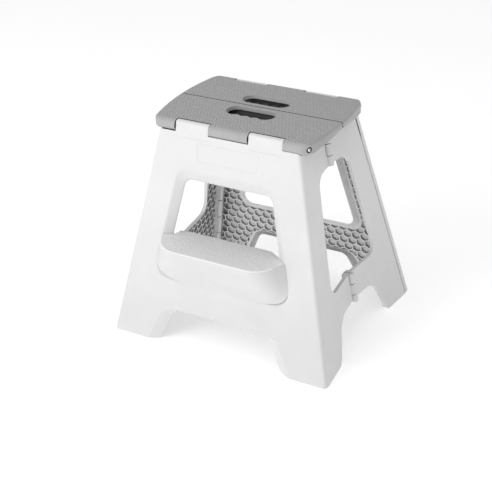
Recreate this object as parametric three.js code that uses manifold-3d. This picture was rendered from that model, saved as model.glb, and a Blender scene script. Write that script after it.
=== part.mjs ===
// Folding step stool: two leg panels, four side quarters, two seat halves, a lower step
// and the steel rods of its hinges, modelled standing open. Millimetres, +Z up, front at -Y.
// Shapes are drawn about the middle of the seat; the whole is then moved back so that the
// origin is on the floor under the middle of its overall box.
import * as THREE from "three";
import { mergeVertices } from "three/addons/utils/BufferGeometryUtils.js";
import Module from "manifold-3d";

const wasm = await Module();
wasm.setup();

// Stance: the outer faces at the floor and how far they lean in for each mm of height.
const HALF_WIDTH = 207.4;
const HALF_DEPTH = 173.9;
const SIDE_SLOPE = 0.2102;
const FRONT_SLOPE = 0.1843;
const FOLD_HALF_WIDTH = 189.3; // the sides' fold line at the floor, bent in from the corners
const MOVED_BACK = 5.66; // half of how far the step stands out beyond the feet

// Leg panels and side quarters.
const PANEL_DEPTH = 12;
const SKIN = 3;
const WALL = 4;
const BODY_GAP = 0.5; // between bodies that move past one another
const SEAM = 0.3; // between fixed pieces
const SIDE_TOP = 367;
const PANEL_TOP = 375;
const WINDOW_MARGIN = 52; // corner line to the outer edge of the dished border
const WINDOW_TOP = 312;
const WINDOW_BOTTOM = 118;
const BORDER = 14.5;
const BORDER_DEPTH = 9;
const ARCH_TOP = 66;
const ARCH_HALF = 139;
const ARCH_BORDER = 20.5; // the arch's border, wide at its sides and narrow at its top
const ARCH_BORDER_TOP = 3.2;
const OPENING_MARGIN = 64;
const OPENING_TOP = 313;
const OPENING_BOTTOM = 119.5;

// Hinges.
const CORNER_RADIUS = 4.5;
const CORNER_INSET = 1; // corner axis inside the panels' inner faces
const CORNER_PITCH = 40.5;
const FOLD_RADIUS = 6;
const FOLD_PROUD = 1; // fold axis outside the quarters' outer faces
const ROD_RADIUS = 1.5;
const ROD_HOLE = 2.1;
const FOLD_ROOM = 0.9; // round a fold's knuckles
const FOLD_HOLE = 2.3;
const UPPER_FOLD = [312, 330.5, 350.5, 366];
const LOWER_FOLD = [66, 80, 99.5, 118.5];

// Seat.
const SEAT_TOP = 391;
const SEAT_AXIS_Y = 96.5;
const SEAT_AXIS_Z = 381;
const SEAT_KNUCKLE = 10;
const SEAT_END_MIDDLE = 151.5;
const SEAT_END_CORNER = 141;
const SEAT_CORNER = 9;
const SEAT_PLATE = 4;
const SEAT_SKIRT = 3;
const TAB_INNER = 36.5;
const TAB_OUTER = 97.5;
const TAB_RADIUS = 9.5;
const SEAT_ROD = 2.3;
const SEAT_ROD_HOLE = 2.8;
const SLOT_HALF = 44;
const SLOT_NEAR = 10;
const SLOT_FAR = 45;
const SLOT_RIM = 2.5;
const SLOT_DEPTH = 9;
const CENTRE_RADIUS = 4.5;
const CENTRE_ROOM = 2.2;
const CENTRE_ROD = 1.3;
const CENTRE_HOLE = 3.1;
const CENTRE_SPANS = [
  [-118, -74],
  [-73.4, -50],
  [50, 73.4],
  [74, 118],
];

// Lower step.
const TREAD_TOP = 195;
const TREAD_BACK = -111;
const STEP_WALL = 3;
const STEP_TAPER = 24;

const white = { color: 0xf4f4f2, roughness: 0.5, metalness: 0 };
const treadWhite = { color: 0xe4e4e2, roughness: 0.75, metalness: 0 };
const grey = { color: 0x8f9192, roughness: 0.7, metalness: 0 };
const steel = { color: 0xc9ccd0, roughness: 0.3, metalness: 1 };

// ---------------------------------------------------------------- solids

// A closed three.js geometry, moved by a matrix, as a solid.
function solid(geometry, matrix = new THREE.Matrix4()) {
  const bare = geometry.clone();
  bare.deleteAttribute("normal");
  bare.deleteAttribute("uv");
  bare.applyMatrix4(matrix);
  const merged = mergeVertices(bare, 1e-4);
  const triVerts = new Uint32Array(merged.index.array);
  if (matrix.determinant() < 0) {
    for (let i = 0; i < triVerts.length; i += 3) {
      [triVerts[i + 1], triVerts[i + 2]] = [triVerts[i + 2], triVerts[i + 1]];
    }
  }
  const vertProperties = merged.attributes.position.array;
  return new wasm.Manifold(new wasm.Mesh({ numProp: 3, vertProperties, triVerts }));
}

function cut(whole, tools) {
  return tools.reduce((rest, tool) => rest.subtract(tool), whole);
}

// A solid's faces as a three.js geometry, moved by a matrix.
function faces(body, matrix) {
  const mesh = body.getMesh();
  const points = new Float32Array((mesh.vertProperties.length / mesh.numProp) * 3);
  for (let i = 0; i < points.length / 3; i += 1) {
    for (let k = 0; k < 3; k += 1) {
      points[3 * i + k] = mesh.vertProperties[mesh.numProp * i + k];
    }
  }
  const geometry = new THREE.BufferGeometry();
  geometry.setAttribute("position", new THREE.BufferAttribute(points, 3));
  geometry.setIndex(new THREE.BufferAttribute(new Uint32Array(mesh.triVerts), 1));
  geometry.applyMatrix4(matrix);
  const flat = geometry.toNonIndexed();
  flat.computeVertexNormals();
  return flat;
}

const MIRROR_X = new THREE.Matrix4().makeScale(-1, 1, 1);
const MIRROR_Y = new THREE.Matrix4().makeScale(1, -1, 1);

function mirrored(body, mirror) {
  return solid(faces(body, new THREE.Matrix4()), mirror);
}

function box(x0, x1, y0, y1, z0, z1) {
  const geometry = new THREE.BoxGeometry(x1 - x0, y1 - y0, z1 - z0);
  geometry.translate((x0 + x1) / 2, (y0 + y1) / 2, (z0 + z1) / 2);
  return solid(geometry);
}

// A cylinder between two points.
function bar(from, to, radius, segments = 20) {
  const along = new THREE.Vector3().subVectors(to, from);
  const geometry = new THREE.CylinderGeometry(radius, radius, along.length(), segments);
  const turn = new THREE.Quaternion();
  turn.setFromUnitVectors(new THREE.Vector3(0, 1, 0), along.clone().normalize());
  geometry.applyQuaternion(turn);
  const middle = new THREE.Vector3().addVectors(from, to).multiplyScalar(0.5);
  geometry.translate(middle.x, middle.y, middle.z);
  return solid(geometry);
}

// ---------------------------------------------------------------- outlines

// A polygon with its corners rounded: [x, y, radius] for each corner, in order.
function rounded(corners, steps = 4) {
  const points = [];
  const n = corners.length;
  corners.forEach(([x, y, radius = 0], i) => {
    const here = new THREE.Vector2(x, y);
    if (radius === 0) {
      points.push(here);
      return;
    }
    const before = new THREE.Vector2(...corners[(i + n - 1) % n].slice(0, 2)).sub(here).normalize();
    const after = new THREE.Vector2(...corners[(i + 1) % n].slice(0, 2)).sub(here).normalize();
    const half = Math.acos(before.dot(after)) / 2;
    const reach = radius / Math.tan(half);
    const toCentre = before.clone().add(after).normalize();
    const centre = here.clone().addScaledVector(toCentre, radius / Math.sin(half));
    const start = here.clone().addScaledVector(before, reach).sub(centre);
    const end = here.clone().addScaledVector(after, reach).sub(centre);
    const sweep = Math.atan2(start.cross(end), start.dot(end));
    for (let k = 0; k <= steps; k += 1) {
      const arm = start.clone().rotateAround(new THREE.Vector2(), (sweep * k) / steps);
      points.push(arm.add(centre));
    }
  });
  return points;
}

function shape(points, holes = []) {
  const outline = new THREE.Shape(points);
  holes.forEach((hole) => outline.holes.push(new THREE.Path(hole)));
  return outline;
}

// An outline given thickness between two levels.
function slab(points, low, high) {
  const geometry = new THREE.ExtrudeGeometry(shape(points), {
    depth: high - low,
    bevelEnabled: false,
  });
  geometry.translate(0, 0, low);
  return geometry;
}

// A solid through matching outlines, each at its own level.
function loft(rings) {
  const n = rings[0].length;
  const positions = rings.flat().flatMap((p) => [p.x, p.y, p.z]);
  const index = [];
  for (let r = 0; r + 1 < rings.length; r += 1) {
    for (let i = 0; i < n; i += 1) {
      const a = r * n + i;
      const b = r * n + ((i + 1) % n);
      index.push(a, b, b + n, a, b + n, a + n);
    }
  }
  const flatten = (ring) => ring.map((p) => new THREE.Vector2(p.x, p.y));
  const last = (rings.length - 1) * n;
  THREE.ShapeUtils.triangulateShape(flatten(rings[0]), []).forEach(([a, b, c]) => {
    index.push(a, c, b);
  });
  THREE.ShapeUtils.triangulateShape(flatten(rings[rings.length - 1]), []).forEach(([a, b, c]) => {
    index.push(last + a, last + b, last + c);
  });
  const geometry = new THREE.BufferGeometry();
  geometry.setAttribute("position", new THREE.Float32BufferAttribute(positions, 3));
  geometry.setIndex(index);
  return geometry;
}

// ---------------------------------------------------------------- frames

// The frame of a leaning board: x along the floor, y up the slope, z out of its outer face.
function leaning(origin, outward) {
  const out = outward.clone().normalize();
  const along = new THREE.Vector3(0, 0, 1).cross(out).normalize();
  const up = new THREE.Vector3().crossVectors(out, along);
  return new THREE.Matrix4().makeBasis(along, up, out).setPosition(origin);
}

// The point of a line at a height.
function atHeight(line, z) {
  return line.point.clone().addScaledVector(line.direction, (z - line.point.z) / line.direction.z);
}

// The line shared by two planes, each { normal, reach }.
function meeting(one, two) {
  const direction = new THREE.Vector3().crossVectors(one.normal, two.normal).normalize();
  if (direction.z < 0) direction.negate();
  const system = new THREE.Matrix3().set(
    ...one.normal.toArray(),
    ...two.normal.toArray(),
    ...direction.toArray(),
  );
  const point = new THREE.Vector3(one.reach, two.reach, 0).applyMatrix3(system.invert());
  return { point, direction };
}

// A plane moved inwards by some depth.
function plane(through, normal, depth = 0) {
  return { normal, reach: through.dot(normal) - depth };
}

const frontOut = new THREE.Vector3(0, -1, FRONT_SLOPE).normalize();
const frontFoot = new THREE.Vector3(0, -HALF_DEPTH, 0);
const corner = new THREE.Vector3(HALF_WIDTH, -HALF_DEPTH, 0);
const cornerUp = new THREE.Vector3(-SIDE_SLOPE, FRONT_SLOPE, 1);
const foldFoot = new THREE.Vector3(FOLD_HALF_WIDTH, 0, 0);
const sideOut = new THREE.Vector3()
  .crossVectors(new THREE.Vector3().subVectors(foldFoot, corner), cornerUp)
  .normalize();

const frontFrame = leaning(frontFoot, frontOut);
const sideFrame = leaning(corner, sideOut);
const cornerAxis = meeting(
  plane(frontFoot, frontOut, PANEL_DEPTH + CORNER_INSET),
  plane(corner, sideOut, PANEL_DEPTH + CORNER_INSET),
);
const foldAxis = meeting(
  plane(new THREE.Vector3(), new THREE.Vector3(0, 1, 0)),
  plane(corner, sideOut, -FOLD_PROUD),
);

// Heights along a board for heights above the floor.
const frontRise = 1 / new THREE.Vector3().setFromMatrixColumn(frontFrame, 1).z;
const sideRise = 1 / new THREE.Vector3().setFromMatrixColumn(sideFrame, 1).z;
const frontLean = SIDE_SLOPE / frontRise;
const cornerInSide = cornerUp.clone().transformDirection(sideFrame.clone().invert());
const sideLean = cornerInSide.x / cornerInSide.y;

// ---------------------------------------------------------------- hinge rows

// Every other length of a corner's barrel belongs to the leg panel.
function cornerSpans(ofPanel) {
  const spans = [];
  const count = 9;
  for (let i = 0; i < count; i += 1) {
    if ((i % 2 === 0) === ofPanel) {
      spans.push([2 + CORNER_PITCH * i, 2 + CORNER_PITCH * (i + 1) - BODY_GAP]);
    }
  }
  return spans;
}

function along(axis, [low, high], radius, extra = 0, segments = 10) {
  return bar(atHeight(axis, low - extra), atHeight(axis, high + extra), radius, segments);
}

// The spans of a fold's two hinges: the upper has one knuckle between two of the other
// quarter's, and the lower the other way about.
function foldSpans(outerRowsAbove) {
  const spans = [];
  [
    [UPPER_FOLD, outerRowsAbove],
    [LOWER_FOLD, !outerRowsAbove],
  ].forEach(([levels, outerRows]) => {
    const rows = outerRows ? [0, 2] : [1];
    rows.forEach((row) => {
      const top = row + 2 < levels.length ? BODY_GAP : 0;
      spans.push([levels[row], levels[row + 1] - top]);
    });
  });
  return spans;
}

const aboveFloor = box(-400, 400, -400, 400, 0, 500);

// ---------------------------------------------------------------- leg panels

// Half of a leg panel's outline values at a height up the slope.
function halfWidthAt(v) {
  return HALF_WIDTH - frontLean * v;
}

function windowOutline(inset) {
  const low = WINDOW_BOTTOM * frontRise + inset;
  const high = WINDOW_TOP * frontRise - inset * 1.32;
  const radius = 23 - (8 * inset) / BORDER;
  const bottom = halfWidthAt(low) - WINDOW_MARGIN - inset;
  const top = halfWidthAt(high) - WINDOW_MARGIN - inset;
  return rounded([
    [-bottom, low, radius],
    [bottom, low, radius],
    [top, high, radius],
    [-top, high, radius],
  ]);
}

function archOutline(inset) {
  const share = inset / BORDER;
  const top = (ARCH_TOP - ARCH_BORDER_TOP * share) * frontRise;
  const foot = ARCH_HALF - ARCH_BORDER * share;
  const slope = 0.5 - 0.03 * share;
  const radius = 30 - 13 * share;
  return rounded([
    [-foot - 12 * slope, -12],
    [foot + 12 * slope, -12],
    [foot - top * slope, top, radius],
    [-foot + top * slope, top, radius],
  ]);
}

// A hole through the panel whose border slopes in from the outer face.
function dished(outline) {
  const outer = outline(-0.4).map((p) => new THREE.Vector3(p.x, p.y, 0.3));
  const inner = outline(BORDER).map((p) => new THREE.Vector3(p.x, p.y, -BORDER_DEPTH));
  const through = outline(BORDER).map((p) => new THREE.Vector3(p.x, p.y, -PANEL_DEPTH - 1));
  return solid(loft([through, inner, outer]), frontFrame);
}

// The arch's sloping sides: half its width at a height up the slope.
function archHalfAt(v) {
  return ARCH_HALF - v / 2;
}

// Blind pockets behind the skin, between the walls.
function panelPockets() {
  const pockets = [];
  const add = (corners) => {
    const tool = slab(rounded(corners), -PANEL_DEPTH - 1, -SKIN);
    pockets.push(solid(tool, frontFrame));
  };
  const sideAt = (v) => halfWidthAt(v) - PANEL_DEPTH - CORNER_RADIUS - 3;
  const windowAt = (v) => halfWidthAt(v) - WINDOW_MARGIN + SKIN;
  const archRise = ARCH_TOP * frontRise + SKIN;
  const windowLow = WINDOW_BOTTOM * frontRise - SKIN;
  const windowHigh = WINDOW_TOP * frontRise + SKIN;
  const top = (PANEL_TOP - 14) * frontRise;
  const cell = (innerAt, v0, v1) => {
    [-1, 1].forEach((s) => {
      add([
        [s * innerAt(v0), v0],
        [s * sideAt(v0), v0],
        [s * sideAt(v1), v1],
        [s * innerAt(v1), v1],
      ]);
    });
  };
  cell((v) => archHalfAt(v) + WALL, 8, archRise - WALL);
  cell(() => 98, archRise, windowLow);
  const rows = 4;
  const step = (windowHigh - windowLow) / rows;
  for (let i = 0; i < rows; i += 1) {
    cell(windowAt, windowLow + WALL + step * i, windowLow + step * (i + 1));
  }
  cell(() => 98, windowHigh + WALL, top);
  for (let i = -2; i < 2; i += 1) {
    [
      [archRise, windowLow],
      [windowHigh + WALL, top],
    ].forEach(([v0, v1]) => {
      add([
        [i * 48 + 2, v0],
        [i * 48 + 46, v0],
        [i * 48 + 46, v1],
        [i * 48 + 2, v1],
      ]);
    });
  }
  return pockets;
}

function seatAxisAt(x) {
  return new THREE.Vector3(x, -SEAT_AXIS_Y, SEAT_AXIS_Z);
}

const TAB_SPANS = [
  [-TAB_OUTER, -TAB_INNER],
  [TAB_INNER, TAB_OUTER],
];

function makeLegPanel() {
  const top = PANEL_TOP * frontRise;
  const outline = rounded([
    [-halfWidthAt(-14), -14],
    [halfWidthAt(-14), -14],
    [halfWidthAt(top), top, 4],
    [-halfWidthAt(top), top, 4],
  ]);
  let panel = solid(slab(outline, -PANEL_DEPTH, 0), frontFrame);
  panel = cut(panel, panelPockets());
  panel = cut(panel, [dished(windowOutline), dished(archOutline)]);
  const knuckleRoom = bar(seatAxisAt(-170), seatAxisAt(170), SEAT_KNUCKLE + 0.45, 24);
  const seatRoom = box(-170, 170, -SEAT_AXIS_Y, 0, SEAT_AXIS_Z - SEAT_KNUCKLE - BODY_GAP, 400);
  panel = cut(panel, [knuckleRoom, seatRoom]);
  TAB_SPANS.forEach(([x0, x1]) => {
    const barrel = bar(seatAxisAt(x0), seatAxisAt(x1), TAB_RADIUS, 24);
    const neck = box(x0, x1, -SEAT_AXIS_Y - 8.2, -SEAT_AXIS_Y + 0.5, 366, SEAT_AXIS_Z - 5);
    panel = panel.add(barrel).add(neck);
  });
  panel = panel.subtract(bar(seatAxisAt(-140), seatAxisAt(140), SEAT_ROD_HOLE, 10));
  const own = cornerSpans(true);
  const other = cornerSpans(false);
  [new THREE.Matrix4(), MIRROR_X].forEach((side) => {
    own.forEach((span) => {
      panel = panel.add(mirrored(along(cornerAxis, span, CORNER_RADIUS), side));
    });
    other.forEach((span) => {
      const room = along(cornerAxis, span, CORNER_RADIUS + BODY_GAP, BODY_GAP);
      panel = panel.subtract(mirrored(room, side));
    });
    const hole = along(cornerAxis, [-10, 380], ROD_HOLE, 0, 6);
    panel = panel.subtract(mirrored(hole, side));
  });
  return panel.intersect(aboveFloor);
}

// ---------------------------------------------------------------- side quarters

function cornerInSideAt(v) {
  return sideLean * v;
}

function makeSideQuarter() {
  const top = SIDE_TOP * sideRise;
  const board = rounded([
    [cornerInSideAt(-14), -14],
    [230, -14],
    [230, top],
    [cornerInSideAt(top), top],
  ]);
  const low = OPENING_BOTTOM * sideRise;
  const high = OPENING_TOP * sideRise;
  const opening = rounded([
    [cornerInSideAt(low) + OPENING_MARGIN, low, 12],
    [240, low],
    [240, high],
    [cornerInSideAt(high) + OPENING_MARGIN, high, 22],
  ]);
  const arch = rounded([
    [72, -20],
    [78, 0],
    [104, 56, 10],
    [122, 72, 16],
    [240, 72],
    [240, -20],
  ]);
  let quarter = solid(slab(board, -PANEL_DEPTH, 0), sideFrame);
  const pocket = (corners) => {
    const tool = slab(rounded(corners), -PANEL_DEPTH - 1, -SKIN);
    quarter = quarter.subtract(solid(tool, sideFrame));
  };
  const hingeWall = PANEL_DEPTH + CORNER_RADIUS + 4;
  const from = (v) => cornerInSideAt(v) + hingeWall;
  const to = (v) => cornerInSideAt(v) + OPENING_MARGIN - WALL;
  pocket([
    [from(8), 8],
    [72, 8],
    [98, 62],
    [116, 76],
    [116, 112],
    [from(112), 112],
  ]);
  [
    [116, 180],
    [184, 248],
    [252, 322],
  ].forEach(([v0, v1]) => {
    pocket([
      [from(v0), v0],
      [to(v0), v0],
      [to(v1), v1],
      [from(v1), v1],
    ]);
  });
  pocket([
    [from(326), 326],
    [158, 326],
    [158, 366],
    [from(366), 366],
  ]);
  pocket([
    [120, 76],
    [158, 76],
    [158, 117],
    [120, 117],
  ]);
  quarter = quarter.subtract(solid(slab(opening, -PANEL_DEPTH - 1, 1), sideFrame));
  quarter = quarter.subtract(solid(slab(arch, -PANEL_DEPTH - 1, 1), sideFrame));
  const behindPanel = frontFrame.clone();
  const room = new THREE.BoxGeometry(600, 900, 60);
  room.translate(0, 200, -PANEL_DEPTH - BODY_GAP + 30);
  quarter = quarter.subtract(solid(room, behindPanel));
  quarter = quarter.subtract(box(0, 400, -BODY_GAP, 300, -50, 500));
  cornerSpans(false).forEach((span) => {
    quarter = quarter.add(along(cornerAxis, span, CORNER_RADIUS));
  });
  cornerSpans(true).forEach((span) => {
    quarter = quarter.subtract(along(cornerAxis, span, CORNER_RADIUS + BODY_GAP, BODY_GAP));
  });
  quarter = quarter.subtract(along(cornerAxis, [-10, 380], ROD_HOLE, 0, 6));
  return quarter.intersect(aboveFloor);
}

// A quarter with its own knuckles on the fold, and room for the other quarter's.
function withFold(quarter, outerRowsAbove) {
  let whole = quarter;
  foldSpans(!outerRowsAbove).forEach((span) => {
    whole = whole.subtract(along(foldAxis, span, FOLD_RADIUS + FOLD_ROOM, BODY_GAP, 14));
  });
  foldSpans(outerRowsAbove).forEach((span) => {
    whole = whole.add(along(foldAxis, span, FOLD_RADIUS, 0, 14));
  });
  return whole.subtract(along(foldAxis, [-10, 380], FOLD_HOLE, 0, 8));
}

// ---------------------------------------------------------------- seat

// The plan of a seat half, inset from its edge: the front edge, the corners and bowed ends.
function seatPlan(inset, front, back) {
  const points = [];
  const steps = 7;
  const endAt = (y) => {
    const out = SEAT_END_MIDDLE - SEAT_END_CORNER;
    return SEAT_END_MIDDLE - out * (y / SEAT_AXIS_Y) ** 2 - inset;
  };
  const turn = front + SEAT_CORNER;
  const side = [];
  for (let k = 0; k <= 4; k += 1) {
    const a = (Math.PI / 2) * (k / 4);
    const y = turn - SEAT_CORNER * Math.cos(a);
    side.push([endAt(turn) - SEAT_CORNER * (1 - Math.sin(a)), y]);
  }
  for (let k = 1; k <= steps; k += 1) {
    const y = turn + ((back - turn) * k) / steps;
    side.push([endAt(y), y]);
  }
  side.forEach(([x, y]) => points.push(new THREE.Vector2(x, y)));
  side.reverse().forEach(([x, y]) => points.push(new THREE.Vector2(-x, y)));
  return points;
}

function slotOutline(grow) {
  const middle = -(SLOT_NEAR + SLOT_FAR) / 2;
  const r = (SLOT_FAR - SLOT_NEAR) / 2 + grow;
  const x = SLOT_HALF + grow;
  return rounded(
    [
      [-x, middle - r, r - 0.01],
      [x, middle - r, r - 0.01],
      [x, middle + r, r - 0.01],
      [-x, middle + r, r - 0.01],
    ],
    6,
  );
}

// The underside rises from the front hinge to the centre.
function seatUnderside() {
  const side = new THREE.Shape([
    new THREE.Vector2(-120, 300),
    new THREE.Vector2(10, 300),
    new THREE.Vector2(10, SEAT_AXIS_Z),
    new THREE.Vector2(-1, SEAT_AXIS_Z),
    new THREE.Vector2(-86, SEAT_AXIS_Z - SEAT_KNUCKLE),
    new THREE.Vector2(-120, SEAT_AXIS_Z - SEAT_KNUCKLE),
  ]);
  const geometry = new THREE.ExtrudeGeometry(side, { depth: 400, bevelEnabled: false });
  geometry.applyMatrix4(
    new THREE.Matrix4().makeBasis(
      new THREE.Vector3(0, 1, 0),
      new THREE.Vector3(0, 0, 1),
      new THREE.Vector3(1, 0, 0),
    ),
  );
  geometry.translate(-200, 0, 0);
  return solid(geometry);
}

function makeSeatHalf() {
  const front = -SEAT_AXIS_Y - SEAT_KNUCKLE;
  const bottom = SEAT_AXIS_Z - SEAT_KNUCKLE;
  const plan = seatPlan(0, front, -BODY_GAP / 2);
  let half = solid(slab(plan, bottom, SEAT_TOP));
  const inside = seatPlan(SEAT_SKIRT, -83, -4);
  half = half.subtract(solid(slab(inside, bottom - 1, SEAT_TOP - SEAT_PLATE)));
  [-105, -62, 62, 105].forEach((x) => {
    half = half.add(box(x - 1.25, x + 1.25, -84, -3, SEAT_AXIS_Z - 6, SEAT_TOP - 3));
  });
  const rim = slab(slotOutline(SLOT_RIM), SEAT_TOP - SLOT_DEPTH, SEAT_TOP - 1);
  half = half.add(solid(rim));
  half = half.subtract(seatUnderside());
  half = half.subtract(solid(slab(slotOutline(0), bottom - 2, SEAT_TOP + 1)));
  const knuckle = bar(seatAxisAt(-170), seatAxisAt(170), SEAT_KNUCKLE, 24);
  const behindAxis = box(-170, 170, -SEAT_AXIS_Y, 10, 300, 400);
  half = half.intersect(knuckle.add(behindAxis));
  TAB_SPANS.forEach(([x0, x1]) => {
    const from = seatAxisAt(x0 - BODY_GAP * 2);
    const to = seatAxisAt(x1 + BODY_GAP * 2);
    half = half.subtract(bar(from, to, TAB_RADIUS + 0.6, 24));
    half = half.subtract(box(from.x, to.x, -120, -SEAT_AXIS_Y + 2.5, 300, 400));
  });
  half = half.subtract(bar(seatAxisAt(-170), seatAxisAt(170), SEAT_ROD_HOLE, 10));
  [-1, 1].forEach((s) => {
    half = half.subtract(bar(seatAxisAt(s * 128), seatAxisAt(s * 170), 4.1, 12));
  });
  return half;
}

function centreAt(x) {
  return new THREE.Vector3(x, 0, SEAT_AXIS_Z);
}

// A half with its own knuckles on the centre, and room for the other half's.
function withCentre(half, ownSpans, otherSpans, hole) {
  let whole = half.subtract(box(-170, 170, -1, 1, SEAT_AXIS_Z - 10, SEAT_AXIS_Z + 4));
  otherSpans.forEach(([x0, x1]) => {
    const room = bar(centreAt(x0 - 0.6), centreAt(x1 + 0.6), CENTRE_RADIUS + CENTRE_ROOM, 12);
    whole = whole.subtract(room);
  });
  ownSpans.forEach(([x0, x1]) => {
    whole = whole.add(bar(centreAt(x0), centreAt(x1), CENTRE_RADIUS, 10));
  });
  return whole.subtract(bar(centreAt(-130), centreAt(130), hole, 8));
}

// ---------------------------------------------------------------- lower step

// Height, how far the step stands out of the panel's face, and its half width at the face.
const STEP_RINGS = [
  [118, 0.7, 62],
  [120, 1.8, 90],
  [123, 3.7, 104],
  [128, 6.7, 115.5],
  [135, 11, 122],
  [142, 15.2, 126],
  [150, 20, 126.5],
  [160, 26.2, 124.5],
  [175, 35.3, 121.3],
  [193.6, 46.7, 117.3],
  [195, 46.2, 116],
];

function panelFaceAt(z) {
  return -HALF_DEPTH + FRONT_SLOPE * z;
}

// The step's plan at a height: back at the panel's face, front corners turned through arcs.
function stepRing(z, reach, wide, back) {
  const face = panelFaceAt(z);
  const narrow = wide - STEP_TAPER;
  const front = face - SEAM - reach;
  const side = Math.hypot(STEP_TAPER, reach);
  const turn = (Math.PI - Math.atan2(reach, STEP_TAPER)) / 2;
  const radius = Math.min(0.6 * side, 26) * Math.tan(turn);
  return rounded(
    [
      [-wide, back],
      [-wide, face - SEAM],
      [-narrow, front, radius],
      [narrow, front, radius],
      [wide, face - SEAM],
      [wide, back],
    ],
    7,
  ).map((p) => new THREE.Vector3(p.x, p.y, z));
}

function makeStep() {
  const outer = STEP_RINGS.map(([z, reach, wide]) => {
    return stepRing(z, reach, wide, panelFaceAt(z) - SEAM + 0.01);
  });
  const hollow = STEP_RINGS.filter(([z]) => z > 125 && z < 190);
  const inner = hollow.map(([z, reach, wide]) => {
    return stepRing(z, reach - STEP_WALL, wide - STEP_WALL, panelFaceAt(z) + 20);
  });
  const [, lastReach, lastWide] = STEP_RINGS[STEP_RINGS.length - 2];
  const ceiling = TREAD_TOP - 4;
  const back = panelFaceAt(ceiling) + 20;
  inner.push(stepRing(ceiling, lastReach - STEP_WALL, lastWide - STEP_WALL, back));
  const face = panelFaceAt(TREAD_TOP);
  const tongue = rounded([
    [-112, face - 1.5],
    [112, face - 1.5],
    [98, face + 9.6],
    [97.4, TREAD_BACK - 12, 4],
    [78, TREAD_BACK, 9],
    [-78, TREAD_BACK, 9],
    [-97.4, TREAD_BACK - 12, 4],
    [-98, face + 9.6],
  ]);
  const under = rounded([
    [-94, face - 30],
    [94, face - 30],
    [93, TREAD_BACK - 13, 4],
    [76, TREAD_BACK - 3, 7],
    [-76, TREAD_BACK - 3, 7],
    [-93, TREAD_BACK - 13, 4],
  ]);
  const tread = solid(slab(tongue, ceiling - 8, TREAD_TOP));
  const shell = solid(loft(outer)).subtract(solid(loft(inner)));
  let step = shell.add(tread.subtract(solid(slab(under, ceiling - 20, ceiling))));
  [-60, 0, 60].forEach((x) => {
    step = step.add(box(x - 1.25, x + 1.25, -160, TREAD_BACK - 1.5, ceiling - 8, ceiling + 1));
  });
  return step;
}

// ---------------------------------------------------------------- assembly

// A frame on a hinge: origin on its axis, z along it.
function hingeFrame(point, direction) {
  const frame = new THREE.Matrix4();
  const turn = new THREE.Quaternion();
  turn.setFromUnitVectors(new THREE.Vector3(0, 0, 1), direction.clone().normalize());
  return frame.makeRotationFromQuaternion(turn).setPosition(point);
}

function mirroredFrame(frame, ...mirrors) {
  const point = new THREE.Vector3().setFromMatrixPosition(frame);
  const direction = new THREE.Vector3().setFromMatrixColumn(frame, 2);
  mirrors.forEach((mirror) => {
    point.applyMatrix4(mirror);
    direction.applyMatrix4(mirror);
  });
  return hingeFrame(point, direction);
}

// A group whose own frame is the hinge it turns on, inside the group it hangs from.
function hinged(parent, frame) {
  const group = new THREE.Group();
  parent.group.add(group);
  group.applyMatrix4(parent.frame.clone().invert().multiply(frame));
  return { group, frame };
}

function place(parent, name, body, look) {
  const material = new THREE.MeshStandardMaterial(look);
  const mesh = new THREE.Mesh(faces(body, parent.frame.clone().invert()), material);
  mesh.name = name;
  parent.group.add(mesh);
}

const stool = new THREE.Group();
const standing = { group: new THREE.Group(), frame: new THREE.Matrix4() };
standing.group.position.set(0, MOVED_BACK, 0);
stool.add(standing.group);
const front = hinged(standing, frontFrame);

const legPanel = makeLegPanel();
place(front, "front_leg_panel", legPanel, white);
place(front, "lower_step", makeStep(), treadWhite);

const cornerFrame = hingeFrame(atHeight(cornerAxis, 0), cornerAxis.direction);
const foldFrame = hingeFrame(atHeight(foldAxis, 0), foldAxis.direction);
const quarter = makeSideQuarter();
const frontQuarter = withFold(quarter, true);
const rearQuarter = withFold(mirrored(quarter, MIRROR_Y), false);

const cornerRod = bar(atHeight(cornerAxis, 4), atHeight(cornerAxis, 364), ROD_RADIUS, 8);
const upperRod = bar(atHeight(foldAxis, 313), atHeight(foldAxis, 365), ROD_RADIUS, 8);
const lowerRod = bar(atHeight(foldAxis, 67), atHeight(foldAxis, 117.5), ROD_RADIUS, 8);

const rightFront = hinged(front, cornerFrame);
place(rightFront, "right_front_quarter", frontQuarter, white);
place(rightFront, "right_upper_fold_rod", upperRod, steel);
place(rightFront, "right_lower_fold_rod", lowerRod, steel);
const rightRear = hinged(rightFront, foldFrame);
place(rightRear, "right_rear_quarter", rearQuarter, white);
const rear = hinged(rightRear, mirroredFrame(cornerFrame, MIRROR_Y));
place(rear, "rear_leg_panel", mirrored(legPanel, MIRROR_Y), white);

const leftFront = hinged(front, mirroredFrame(cornerFrame, MIRROR_X));
place(leftFront, "left_front_quarter", mirrored(frontQuarter, MIRROR_X), white);
place(leftFront, "left_upper_fold_rod", mirrored(upperRod, MIRROR_X), steel);
place(leftFront, "left_lower_fold_rod", mirrored(lowerRod, MIRROR_X), steel);
const leftRear = hinged(rear, mirroredFrame(cornerFrame, MIRROR_X, MIRROR_Y));
place(leftRear, "left_rear_quarter", mirrored(rearQuarter, MIRROR_X), white);

place(front, "front_right_corner_rod", cornerRod, steel);
place(front, "front_left_corner_rod", mirrored(cornerRod, MIRROR_X), steel);
const rearRod = mirrored(cornerRod, MIRROR_Y);
place(rear, "rear_right_corner_rod", rearRod, steel);
place(rear, "rear_left_corner_rod", mirrored(rearRod, MIRROR_X), steel);

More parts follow.
